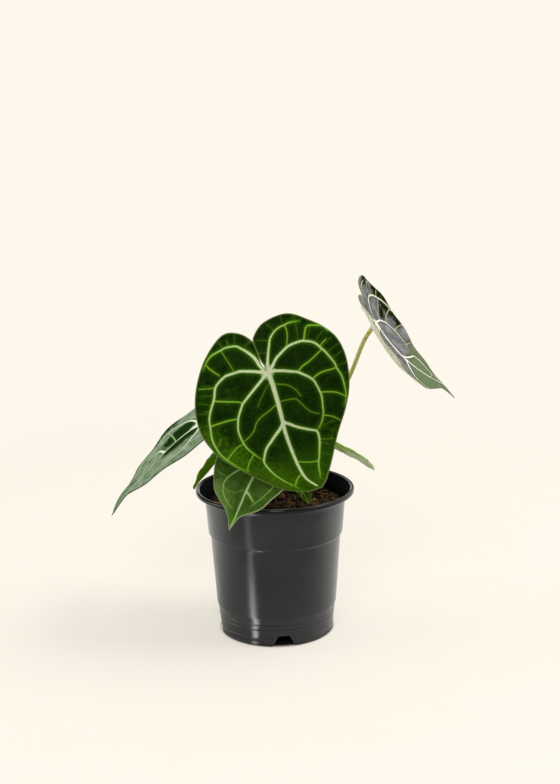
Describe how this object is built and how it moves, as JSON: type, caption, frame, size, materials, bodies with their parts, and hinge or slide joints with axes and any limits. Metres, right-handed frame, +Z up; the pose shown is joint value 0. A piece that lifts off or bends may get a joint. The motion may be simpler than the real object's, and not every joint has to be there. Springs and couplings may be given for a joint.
{
  "type": "potted anthurium",
  "caption": "Potted velvet-leaved anthurium with heart-shaped, net-veined leaves on slender petioles in a tapered black nursery pot of bark mix.",
  "frame": {"origin": "on the floor under the middle of the plant's spread, which is the pot's axis to within 2 mm", "axes": "+Z up the plant; -Y towards the viewer, the side that the large front leaf faces; +X to the viewer's right"},
  "size_m": [0.2614, 0.1575, 0.2723],
  "materials": {
    "pot": "satin",
    "soil": "rough damp bark mix",
    "crown": "fibrous",
    "petiole": "satin",
    "leaf": "velvety with a soft sheen",
    "leaf_pale": "velvety with a silver sheen",
    "leaf_young": "satin"
  },
  "bodies": {
    "root": {"pot": "pot", "soil": "soil", "crown": "crown", "petiole_front": "petiole", "petiole_right": "petiole", "petiole_left": "petiole", "petiole_drape": "petiole", "petiole_right_low": "petiole", "petiole_left_low": "petiole", "petiole_inner": "petiole", "leaf_front": "leaf", "leaf_right": "leaf_pale", "leaf_left": "leaf_pale", "leaf_drape": "leaf", "leaf_right_low": "leaf_young", "leaf_left_low": "leaf", "leaf_inner": "leaf_young"}
  },
  "joints": []
}
